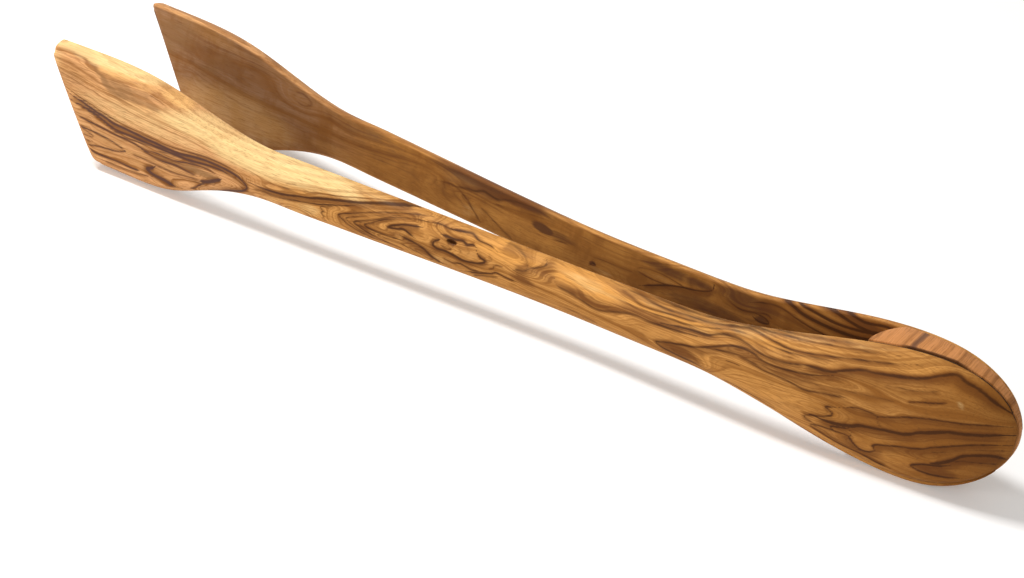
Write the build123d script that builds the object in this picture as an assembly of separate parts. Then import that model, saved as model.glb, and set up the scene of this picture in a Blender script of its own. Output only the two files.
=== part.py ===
from build123d import *
import math
import os

from scipy.interpolate import CubicHermiteSpline

# Wooden kitchen tongs, in millimetres: two springy arms glued to a wedge at the heel.
# X runs along the tongs, with the blade tips at -X. The front arm is at -Y, the rear arm at +Y.
# Z is up, and the tongs lie on their edges on the plane z = 0.
# A station is a distance along X from the heel's end, towards the tips.

# Length, from the heel's end to the unrounded upper corner of the blade
LENGTH = 300.0

# Side outline: widths of an arm, and the lengths between the places where they hold
HEEL_WIDTH = 37.2
HEEL_NOSE_LENGTH = 24.8
HEEL_NOSE_RISE = 1.8
HEEL_TAPER_LENGTH = 67.5
GRIP_WIDTH = 15.5
WAIST_FROM_GRIP = 45.0
WAIST_WIDTH = 14.7
WAIST_HEIGHT = 16.9
SHOULDER_WIDTH = 15.9
FLARE_LENGTH = 46.0
BLADE_WIDTH = 34.5
BLADE_LENGTH = 31.5
TIP_WIDTH = 33.6

# Blade end: it is cut on a slant, so its lower corner is nearer to the heel, and its outer edge is rounded
# by a share of the corners' radius
TIP_SLANT = 20.2
TIP_CORNER_RADIUS = 2.4
TIP_EDGE_ROUND_SHARE = 0.5

# Plan: half the gap between the arms' inner faces
HEEL_END_HALF_GAP = 1.4
MOUTH_HALF_GAP = 6.9
WAIST_HALF_GAP = 10.9
GRIP_FACE_LENGTH = 58.0
GRIP_FACE_HALF_GAP = 18.6
TIP_HALF_GAP = 20.9

# Thickness of an arm at its crown
HEEL_THICKNESS = 6.6
WAIST_THICKNESS = 6.0
SHOULDER_THICKNESS = 6.0
BLADE_THICKNESS = 6.6
TIP_THICKNESS = 7.0

# Squareness of the outer face's section: 2 is an ellipse, more is a flatter face with tighter edges
HEEL_SQUARENESS = 2.8
WAIST_SQUARENESS = 2.8
SHOULDER_SQUARENESS = 3.6
BLADE_SQUARENESS = 9.6

# How much faster than its width the heel's round end thins
NOSE_TAPER = 1.5

# Heel block: its mouth is sawn a little askew and bulges
MOUTH_AT = 43.4
MOUTH_SKEW = 5.5
MOUTH_BULGE = 1.4
GLUE_THICKNESS = 0.4
GLUE_SETBACK = 0.6

# Flexing arm: it is parted where its bend is centred
FLEX_AT = 80.0
FLEX_GAP = 0.1

# Fineness of the sections, and spare length of the bodies that cut others
NOSE_ANGLES = (10, 22, 35, 50, 65, 78, 90)
TIP_APPROACH = (3.0, 1.8, 1.3)
TIP_ANGLES = (90, 66, 45, 22, 0)
SECTION_SPACING = 12.0
DOME_STEPS = 12
SPARE = 5.0
INNER_SPARE = 0.5
END_SPARE = 0.5

# Stations that follow from the lengths
HEEL_WIDEST_AT = HEEL_NOSE_LENGTH
GRIP_AT = HEEL_WIDEST_AT + HEEL_TAPER_LENGTH
WAIST_AT = GRIP_AT + WAIST_FROM_GRIP
BLADE_AT = LENGTH - BLADE_LENGTH
SHOULDER_AT = BLADE_AT - FLARE_LENGTH
GRIP_FACE_AT = LENGTH - GRIP_FACE_LENGTH
TIP_CENTRE_AT = LENGTH - TIP_SLANT / 2
CUT_HEIGHT = 2 * max(HEEL_WIDTH, BLADE_WIDTH)
CUT_DEPTH = 4 * (TIP_HALF_GAP + TIP_THICKNESS)


def eased(stations, values):
    """Smooth curve through values at stations, level at each of them."""
    return CubicHermiteSpline(stations, values, [0.0] * len(stations))


outline_curve = eased(
    [HEEL_WIDEST_AT, GRIP_AT, WAIST_AT, SHOULDER_AT, BLADE_AT, LENGTH],
    [HEEL_WIDTH / 2, GRIP_WIDTH / 2, WAIST_WIDTH / 2, SHOULDER_WIDTH / 2, BLADE_WIDTH / 2, TIP_WIDTH / 2],
)
height_curve = eased(
    [HEEL_WIDEST_AT, WAIST_AT, BLADE_AT],
    [HEEL_WIDTH / 2, WAIST_HEIGHT, BLADE_WIDTH / 2],
)
thickness_curve = eased(
    [HEEL_WIDEST_AT, WAIST_AT, SHOULDER_AT, BLADE_AT, LENGTH],
    [HEEL_THICKNESS, WAIST_THICKNESS, SHOULDER_THICKNESS, BLADE_THICKNESS, TIP_THICKNESS],
)
squareness_curve = eased(
    [HEEL_WIDEST_AT, WAIST_AT, SHOULDER_AT, BLADE_AT],
    [HEEL_SQUARENESS, WAIST_SQUARENESS, SHOULDER_SQUARENESS, BLADE_SQUARENESS],
)

GLUE_SLOPE = (MOUTH_HALF_GAP - HEEL_END_HALF_GAP) / MOUTH_AT
GRIP_FACE_SLOPE = (TIP_HALF_GAP - GRIP_FACE_HALF_GAP) / GRIP_FACE_LENGTH
WAIST_SLOPE = (GRIP_FACE_HALF_GAP - MOUTH_HALF_GAP) / (GRIP_FACE_AT - MOUTH_AT)
bend_curve = CubicHermiteSpline(
    [MOUTH_AT, WAIST_AT, GRIP_FACE_AT],
    [MOUTH_HALF_GAP, WAIST_HALF_GAP, GRIP_FACE_HALF_GAP],
    [GLUE_SLOPE, WAIST_SLOPE, GRIP_FACE_SLOPE],
)


def x_at(station):
    """Place along X of a station, before the tongs are centred."""
    return LENGTH / 2 - station


def held(station, low, high):
    """Station kept between two others."""
    return min(max(station, low), high)


def nose_share(station):
    """Share of the heel's full width at a station on its round end, and 1 past it."""
    if station >= HEEL_NOSE_LENGTH:
        return 1.0
    return math.sqrt(1 - (1 - station / HEEL_NOSE_LENGTH) ** 2)


def half_width(station):
    """Half the width of an arm."""
    return nose_share(station) * float(outline_curve(held(station, HEEL_WIDEST_AT, LENGTH)))


def middle_height(station):
    """Height of an arm's centre line, which rises on the heel's round end."""
    rise = HEEL_NOSE_RISE * max(1 - station / HEEL_NOSE_LENGTH, 0.0) ** 2
    return rise + float(height_curve(held(station, HEEL_WIDEST_AT, BLADE_AT)))


def thickness(station):
    """Thickness of an arm at its crown."""
    full = float(thickness_curve(held(station, HEEL_WIDEST_AT, LENGTH)))
    return full * nose_share(station) ** NOSE_TAPER


def squareness(station):
    """Squareness of an arm's section."""
    return float(squareness_curve(held(station, HEEL_WIDEST_AT, BLADE_AT)))


def half_gap(station):
    """Half the gap between the arms: straight at the glue and at the grip faces, bent between them."""
    if station <= MOUTH_AT:
        return HEEL_END_HALF_GAP + GLUE_SLOPE * station
    if station >= GRIP_FACE_AT:
        return GRIP_FACE_HALF_GAP + GRIP_FACE_SLOPE * (station - GRIP_FACE_AT)
    return float(bend_curve(station))


def section_slant(station):
    """Lean of a section, as X per Z: upright up to the shoulder, as slanted as the blade's end at the tip."""
    along = held((station - SHOULDER_AT) / (TIP_CENTRE_AT - SHOULDER_AT), 0.0, 1.0)
    return TIP_SLANT / TIP_WIDTH * along * along * (3 - 2 * along)


def corner_cut(tip_distance):
    """How much the blade's rounded corners take off its half width near the end."""
    inside = held(tip_distance, 0.0, TIP_CORNER_RADIUS)
    return TIP_CORNER_RADIUS - math.sqrt(TIP_CORNER_RADIUS**2 - (TIP_CORNER_RADIUS - inside) ** 2)


def arm_section(station):
    """Section of the rear arm's blank: a domed outer face, closed by a straight inner edge."""
    cut = corner_cut(TIP_CENTRE_AT - station)
    reach = half_width(station) - cut
    crown = thickness(station) - TIP_EDGE_ROUND_SHARE * cut + INNER_SPARE
    points = []
    for step in range(DOME_STEPS + 1):
        angle = math.pi * step / DOME_STEPS
        across = math.copysign(abs(math.cos(angle)) ** (2 / squareness(station)), math.cos(angle))
        rise = across * reach
        point_station = station + rise * section_slant(station)
        inner_y = half_gap(point_station) - INNER_SPARE
        height = middle_height(station) + rise
        points.append((x_at(point_station), inner_y + crown * math.sin(angle), height))
    dome = Edge.make_spline(
        points,
        tangents=[(0, 1, 0), (0, -1, 0)],
        parameters=[step / DOME_STEPS for step in range(DOME_STEPS + 1)],
    )
    inner = Edge.make_line(points[-1], points[0])
    return Face(Wire([dome, inner]))


def section_stations():
    """Stations of the arm's sections: close together on the heel's round end and on the tip's corners."""
    nose = [HEEL_NOSE_LENGTH * (1 - math.cos(math.radians(angle))) for angle in NOSE_ANGLES]
    corner = [1 - math.cos(math.radians(angle)) for angle in TIP_ANGLES]
    tip = [TIP_CENTRE_AT - TIP_CORNER_RADIUS * share for share in (*TIP_APPROACH, *corner)]
    steps = math.ceil((tip[0] - nose[-1]) / SECTION_SPACING)
    span = [nose[-1] + (tip[0] - nose[-1]) * step / steps for step in range(1, steps)]
    return nose + span + tip


def plan_prism(*edges):
    """Upright prism on a closed outline drawn in the XY plane."""
    return extrude(make_face(edges), amount=CUT_HEIGHT, both=True)


def plan_polygon(*points):
    """Upright prism on a polygon of plan points."""
    return extrude(make_face(Polyline(*points, close=True)), amount=CUT_HEIGHT, both=True)


def between_arms():
    """Space on the inner side of the rear arm, with the glue and grip faces flat."""
    before_waist = (MOUTH_AT + WAIST_AT) / 2
    past_waist = (WAIST_AT + GRIP_FACE_AT) / 2
    bend_stations = (MOUTH_AT, before_waist, WAIST_AT, past_waist, GRIP_FACE_AT)
    heel_end = (x_at(-SPARE), half_gap(-SPARE))
    mouth = (x_at(MOUTH_AT), half_gap(MOUTH_AT))
    grip_start = (x_at(GRIP_FACE_AT), half_gap(GRIP_FACE_AT))
    grip_end = (x_at(LENGTH + SPARE), half_gap(LENGTH + SPARE))
    far_side = -SPARE
    bend = Spline(
        *[(x_at(station), half_gap(station)) for station in bend_stations],
        tangents=[(-1, GLUE_SLOPE), (-1, GRIP_FACE_SLOPE)],
    )
    return plan_prism(
        Line(heel_end, mouth),
        bend,
        Line(grip_start, grip_end),
        Polyline(grip_end, (grip_end[0], far_side), (heel_end[0], far_side), heel_end),
    )


def heel_outline(inset):
    """Slab across both arms on the heel's side outline, drawn in by inset, that ends past the mouth."""
    end = MOUTH_AT + SPARE
    stations = [HEEL_WIDEST_AT, (HEEL_WIDEST_AT + end) / 2, end]
    upper = [(x_at(station), middle_height(station) + half_width(station) - inset) for station in stations]
    lower = [(x_at(station), middle_height(station) - half_width(station) + inset) for station in stations]
    slope = float(outline_curve.derivative()(end))
    drop = float(height_curve.derivative()(end))
    nose_points = []
    for angle in (*[-angle for angle in reversed(NOSE_ANGLES)], 0, *NOSE_ANGLES):
        turn = math.radians(angle)
        station = HEEL_NOSE_LENGTH * (1 - math.cos(turn))
        height = middle_height(station) + (HEEL_WIDTH / 2 - inset) * math.sin(turn)
        nose_points.append((x_at(station + inset * math.cos(turn)), height))
    nose = Spline(*nose_points, tangents=[(1, 0), (-1, 0)])
    top = Spline(*upper, tangents=[(-1, 0), (-1, drop + slope)])
    bottom = Spline(*lower, tangents=[(-1, 0), (-1, drop - slope)])
    face = make_face([nose, top, Line(upper[-1], lower[-1]), bottom])
    return extrude(Plane.XZ * face, amount=CUT_DEPTH, both=True)


def block_half(station):
    """Half the thickness of the heel block."""
    return half_gap(station) - GLUE_THICKNESS


def heel_block():
    """Wedge between the arms, with a skewed and bulging mouth."""
    rear_mouth = MOUTH_AT - MOUTH_SKEW
    front_corner = (x_at(MOUTH_AT), -block_half(MOUTH_AT))
    rear_corner = (x_at(rear_mouth), block_half(rear_mouth))
    bulge = (x_at((MOUTH_AT + rear_mouth) / 2 + MOUTH_BULGE), 0)
    end_x = x_at(-END_SPARE)
    end_half = block_half(-END_SPARE)
    plan = plan_prism(
        ThreePointArc(front_corner, bulge, rear_corner),
        Polyline(rear_corner, (end_x, end_half), (end_x, -end_half), front_corner),
    )
    return heel_outline(0) & plan


def glue_line(side, mouth_at):
    """Film between the block and one arm (side -1 front, 1 rear), set back from every edge."""
    end = mouth_at - GLUE_SETBACK
    strip = plan_polygon(
        (x_at(-END_SPARE), side * block_half(-END_SPARE)),
        (x_at(end), side * block_half(end)),
        (x_at(end), side * half_gap(end)),
        (x_at(-END_SPARE), side * half_gap(-END_SPARE)),
    )
    return heel_outline(GLUE_SETBACK) & strip


def slab(from_station, to_station):
    """Block that holds everything between two stations."""
    length = to_station - from_station
    return Pos(x_at(from_station + length / 2), 0, 0) * Box(length, 2 * CUT_DEPTH, 2 * CUT_HEIGHT)


rear_whole = loft([arm_section(station) for station in section_stations()]) - between_arms()
rear_arm_heel = rear_whole & slab(-SPARE, FLEX_AT)
rear_arm = rear_whole & slab(FLEX_AT + FLEX_GAP, LENGTH + SPARE)

pieces = {
    "heel_block": heel_block(),
    "front_glue_line": glue_line(-1, MOUTH_AT),
    "rear_glue_line": glue_line(1, MOUTH_AT - MOUTH_SKEW),
    "front_arm_heel": mirror(rear_arm_heel, about=Plane.XZ),
    "front_arm": mirror(rear_arm, about=Plane.XZ),
    "rear_arm_heel": rear_arm_heel,
    "rear_arm": rear_arm,
}

# The origin lies under the middle of the tongs, on the plane that they lie on
box = Compound(children=[part.solid() for part in pieces.values()]).bounding_box()
centring = Pos(-(box.min.X + box.max.X) / 2, 0, -box.min.Z)

os.makedirs("parts", exist_ok=True)
for name, part in pieces.items():
    export_step(centring * part.solid(), f"parts/{name}.step")
print("overall size", box.size, "moved by", centring.position)
print("flex axis at x", x_at(FLEX_AT) + centring.position.X, "and y", half_gap(FLEX_AT), "on either side")
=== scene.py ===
import math

import bmesh
import bpy
import numpy as np
from mathutils import Matrix, Vector, noise
from mathutils.bvhtree import BVHTree

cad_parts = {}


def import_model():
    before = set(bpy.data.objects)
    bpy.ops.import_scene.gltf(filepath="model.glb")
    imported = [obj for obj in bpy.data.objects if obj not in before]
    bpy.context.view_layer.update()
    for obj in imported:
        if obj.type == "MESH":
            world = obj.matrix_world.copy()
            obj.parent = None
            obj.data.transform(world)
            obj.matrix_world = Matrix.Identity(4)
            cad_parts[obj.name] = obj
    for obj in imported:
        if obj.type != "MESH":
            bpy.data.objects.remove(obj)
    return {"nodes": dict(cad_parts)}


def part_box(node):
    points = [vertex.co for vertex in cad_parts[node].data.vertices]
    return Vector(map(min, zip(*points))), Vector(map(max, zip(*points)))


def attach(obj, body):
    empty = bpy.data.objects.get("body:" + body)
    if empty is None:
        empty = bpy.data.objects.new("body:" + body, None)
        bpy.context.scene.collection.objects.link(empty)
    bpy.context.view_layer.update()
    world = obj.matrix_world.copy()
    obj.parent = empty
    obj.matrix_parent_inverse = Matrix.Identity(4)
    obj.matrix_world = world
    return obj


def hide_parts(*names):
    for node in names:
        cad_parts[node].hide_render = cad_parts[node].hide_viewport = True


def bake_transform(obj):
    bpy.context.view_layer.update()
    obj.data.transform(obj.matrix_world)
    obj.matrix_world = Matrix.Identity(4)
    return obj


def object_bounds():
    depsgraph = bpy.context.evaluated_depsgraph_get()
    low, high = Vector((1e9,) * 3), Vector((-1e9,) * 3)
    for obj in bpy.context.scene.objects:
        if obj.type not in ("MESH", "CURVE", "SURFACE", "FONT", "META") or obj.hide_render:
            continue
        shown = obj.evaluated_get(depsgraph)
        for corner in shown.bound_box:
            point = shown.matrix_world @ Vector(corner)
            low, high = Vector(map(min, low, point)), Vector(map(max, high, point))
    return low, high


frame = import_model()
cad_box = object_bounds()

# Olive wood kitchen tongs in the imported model's frame: two springy arms glued to a wedge at the heel.
# A station is a distance from the heel's end towards the tips. Stations, heights and the skin's other
# lengths are in millimetres. What Blender takes as it is, such as a lamp's place or a bump, is in metres.

MM = 0.001
HEEL_END = cad_box[1].x
FRONT = -1
REAR = 1

# Skin of an arm: rings along it, and points across each of its two faces
RING_STEP = 0.5
PLAIN_COLUMNS = 49
FINE_STEPS = 2
FIGURED_BIAS = 0.6
PLAIN_BIAS = 0.15
FIRST_RING = 0.45
NOSE_RINGS = 56
NOSE_LENGTH = 24.8
TIP_RINGS = 26
TIP_SPAN = 9.0
TIP_INSET = 0.03
PIVOT_HEIGHT = 18.0
LEAN_FROM = 222.5
PROBE_DEPTH = 0.6
PROBE_SHARE = 0.3
EDGE_INSET = 0.04
EDGE_ROUND = 0.9
TIP_ROUND = 0.8
FAR_OUT = 90.0
GAP_STEP = 0.2
TIP_PROBE_DEPTH = 3.5
TIP_PROBE_REACH = 8.0
SMOOTH_PASSES = 6
MOST_ROUNDED_OFF = 0.98
MOST_SANDED_OFF = 0.3
INNER_FACE_SETBACK = 0.3
UNEVEN = 0.16
UNEVEN_SIZE = (34.0, 11.0, 11.0)

# Camera, at the photograph's viewing angle
IMAGE_WIDTH = 1024
FOCAL_PIXELS = 2383.4
SENSOR_WIDTH = 36.0
CAMERA_AZIMUTH = 25.93
CAMERA_ELEVATION = 28.235
CAMERA_ROLL = 10.195
CAMERA_DISTANCE = 676.5
CAMERA_TARGET = (-0.36, 0.0, 2.81)
CLIP_START = 0.01
CLIP_END = 20.0

# Studio, in metres and watts: each lamp has a name, a place, a target, a size and a power
LAMPS = (
    ("key", (-0.54, -0.13, 0.86), (-0.02, 0, 0), 0.2, 9.8),
    ("fill", (-0.50, -1.00, 0.24), (0.0, 0, 0.02), 0.5, 8.0),
)
WORLD_COLOUR = (0.40, 0.392, 0.380, 1)
BLACK = (0, 0, 0, 1)
WHITE = (1, 1, 1, 1)
FLOOR_SIZE = 8.0
FLOOR_COLOUR = (0.80, 0.80, 0.80, 1)
FLOOR_ROUGHNESS = 0.9
FLOOR_GLOW = 0.23
# The glow's warm tint shows only inside the tongs' shadow: painted warm light bounced from the wood
FLOOR_GLOW_TINT = (1, 0.95, 0.90, 1)
GLOW_RISES_FROM = 0.35
GLOW_RISES_TO = 1.2

# Sockets of a Mix node that mixes colours
MIX_SHARE = 0
MIX_FIRST = 6
MIX_SECOND = 7
MIX_RESULT = 2

# Colours of the wood, as linear light
HONEY = (0.56, 0.262, 0.068, 1)
BLADE_HONEY = (0.60, 0.305, 0.125, 1)
TAN = (0.215, 0.074, 0.010, 1)
STRAW = (0.60, 0.295, 0.075, 1)
# The inner colours are darker than the outer ones. They are painted shade on the arms' inner faces, which
# look into the narrow space between the arms.
SHADED_INNER_HONEY = (0.345, 0.145, 0.029, 1)
SHADED_INNER_BLADE = (0.262, 0.137, 0.069, 1)
SHADED_INNER_TAN = (0.185, 0.066, 0.011, 1)
CREAM = (0.80, 0.555, 0.245, 1)
AMBER = (0.66, 0.30, 0.066, 1)
BLADE_AMBER = (0.72, 0.40, 0.14, 1)
HEART = (0.130, 0.042, 0.008, 1)
# Heart brown is darker still on the inner faces: painted shade
SHADED_INNER_HEART = (0.070, 0.024, 0.010, 1)
SMOKE = (0.215, 0.106, 0.040, 1)
STREAK = (0.050, 0.016, 0.004, 1)
PURPLE_STREAK = (0.068, 0.031, 0.024, 1)
FIBRE = (0.21, 0.074, 0.012, 1)
PORE = (0.10, 0.036, 0.010, 1)

# Stations between which the blade's own colours come in
BLADE_TONE_FROM = 205.0
BLADE_TONE_TO = 240.0

# Noise in an arm's wood: its stretch along, through and up the arm, then its scale, detail and roughness
NOISE_MIDDLE = 0.5
WOOD_NOISE = {
    "drift": ((0.035, 0.12, 0.12), 1.0, 3.0, 0.5),
    "ripple": ((0.16, 0.5, 0.5), 1.0, 2.0, 0.5),
    "hair": ((0.07, 2.3, 2.3), 1.5, 2.0, 0.6),
    "mottle": ((0.10, 0.1, 0.055), 1.0, 4.0, 0.62),
    "fibre": ((0.05, 1.1, 1.1), 1.6, 3.0, 0.6),
    "pore": ((0.22, 3.2, 3.2), 1.4, 1.0, 0.5),
    "strength": ((0.03, 0.09, 0.09), 1.3, 2.0, 0.5),
}

# Bands across the growth layers: where they start, how close they lie, and their detail
WOOD_BANDS = {
    "broad": (0.0, 0.42, 2.0),
    "fine": (0.0, 1.5, 2.0),
    "thin": (17.3, 3.6, 1.0),
    "straw": (31.7, 0.4, 0.0),
}
LAYER_DRIFT = 1.5
LAYER_RIPPLE = 0.4

# Tones kept on the skin: the name there, its weight, what frays it and how much, how much the ripple does,
# and the values between which the tone comes in
FRAYED_TONES = {
    "pale": ("pale", 1.0, "fibre", 0.35, 0.4, (0.1, 0.9)),
    "amber": ("amber", 1.0, "strength", 0.4, 0.2, (0.1, 0.9)),
    "tan": ("tan", 0.72, "broad", 2.3, 0.4, (0.05, 0.95)),
    "heart": ("brown", 1.0, "fine", 0.6, 0.5, (0.15, 1.0)),
    "smoke": ("smoke", 1.0, "fibre", 0.6, 0.7, (0.15, 1.0)),
    "beside": ("beside", 1.0, "fine", 0.4, 0.25, (0.1, 0.85)),
}

# Dark streaks on the grain lines
STREAK_LEAST = 0.6
STREAK_SWING = 0.8
STREAK_RIPPLE = 0.35
STREAK_FRAY = 0.55
STREAK_RANGE = (0.3, 0.8)

# Values between which a noise or a band comes into the colour
GRAIN_RANGES = {
    "straw": (0.4, 0.75),
    "mottle": (0.42, 0.64),
    "fine": (0.47, 0.62),
    "thin": (0.5, 0.66),
    "fibre": (0.5, 0.7),
    "hair": (0.5, 0.68),
    "pore": (0.54, 0.74),
}

# How much of its colour each tone and each kind of line gives, and how that changes on the inner face,
# near a drawn grain line and on pale or amber wood
SHARES = {
    "tan": 0.9, "straw": 0.18, "mottle": 0.08, "amber": 0.78, "pale": 0.92, "fine": 0.52, "thin": 0.26,
    "fibre": 0.46, "hair": 0.32, "heart": 0.85, "smoke": 0.78, "beside": 0.74, "streak": 0.9, "pore": 0.34,
}
# On the inner face the straw and amber give less, as part of its painted shade, and the mottle gives more
INNER_GAIN = {"straw": -0.12, "mottle": 0.68, "amber": -0.4}
INNER_LOSS = {"fine": 0.4, "thin": 0.35}
NEAR_LINE_GAIN = {"fine": 0.4, "thin": 0.5}
PALE_QUIET = 0.6
AMBER_QUIET = 0.55
PALE_BESIDE_LOSS = 0.8

# Surface of the wood
WOOD_ROUGHNESS = 0.5
FIBRE_ROUGHNESS = 0.18
STREAK_SMOOTHNESS = 0.05
WOOD_SHEEN = 0.08
FIBRE_RELIEF = 0.6
PORE_RELIEF = 0.4
STREAK_RELIEF = 0.25
ARM_BUMP = {"Strength": 0.18, "Distance": 0.0002}

# Heel block: growth layers across the tongs, one dark layer, and a dark seam beside the front arm that is
# partly squeezed-out glue and partly painted shade in the joint's slight opening
BLOCK_PINK = (0.57, 0.240, 0.080, 1)
BLOCK_BEND_STRETCH = (60, 90, 60)
BLOCK_BEND = 2.4
BLOCK_FIBRE_STRETCH = (2600, 240, 700)
BLOCK_BROAD_BANDS = (0.5, 1.0)
BLOCK_FINE_BANDS = (3.4, 2.0)
BLOCK_TAN_RANGE = (0.4, 0.65)
BLOCK_TAN_SHARE = 0.35
BLOCK_FINE_RANGE = (0.46, 0.66)
BLOCK_FINE_SHARE = 0.3
BLOCK_HEART_RANGE = (0.6, 0.72)
BLOCK_HEART_SHARE = 0.3
BLOCK_FIBRE_RANGE = (0.5, 0.72)
BLOCK_FIBRE_SHARE = 0.3
BLOCK_ROUGHNESS = 0.56
BLOCK_FIBRE_ROUGHNESS = 0.15
BLOCK_BUMP = {"Strength": 0.2, "Distance": 0.0002}
DARK_LAYER_AT = 32.0
DARK_LAYER_CORE = 0.3
DARK_LAYER_HALF = 1.4
DARK_LAYER_SHARE = 0.75
HEEL_HALF_GAP = 1.4
GAP_SLOPE = 5.5 / 43.4
SEAM_FADES_FROM = 14.0
SEAM_FROM = 20.0
SEAM_TO = 33.0
SEAM_FADES_TO = 36.0
SEAM_WIDTH = 1.4
SEAM_CORE = 0.42
SEAM_SHARE = 0.9

# Eased edges of the heel block, with angles in degrees
WELD_DISTANCE = 1e-6
FLAT_ANGLE = 1.5
SHARP_ANGLE = 40.0
SHADE_ANGLE = 35.0
BLOCK_EDGE_ROUND = 0.35
BLOCK_EDGE_STEPS = 3
ROUND_PROFILE = 0.5

# Glue between the heel block and the arms
GLUE = (0.028, 0.014, 0.008, 1)
GLUE_CLOT = (0.075, 0.036, 0.016, 1)
GLUE_CLOT_STRETCH = (300, 300, 300)
GLUE_CLOT_DETAIL = 3.0
GLUE_CLOT_RANGE = (0.4, 0.7)
GLUE_ROUGHNESS = 0.3
CLOT_ROUGHNESS = 0.35

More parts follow.
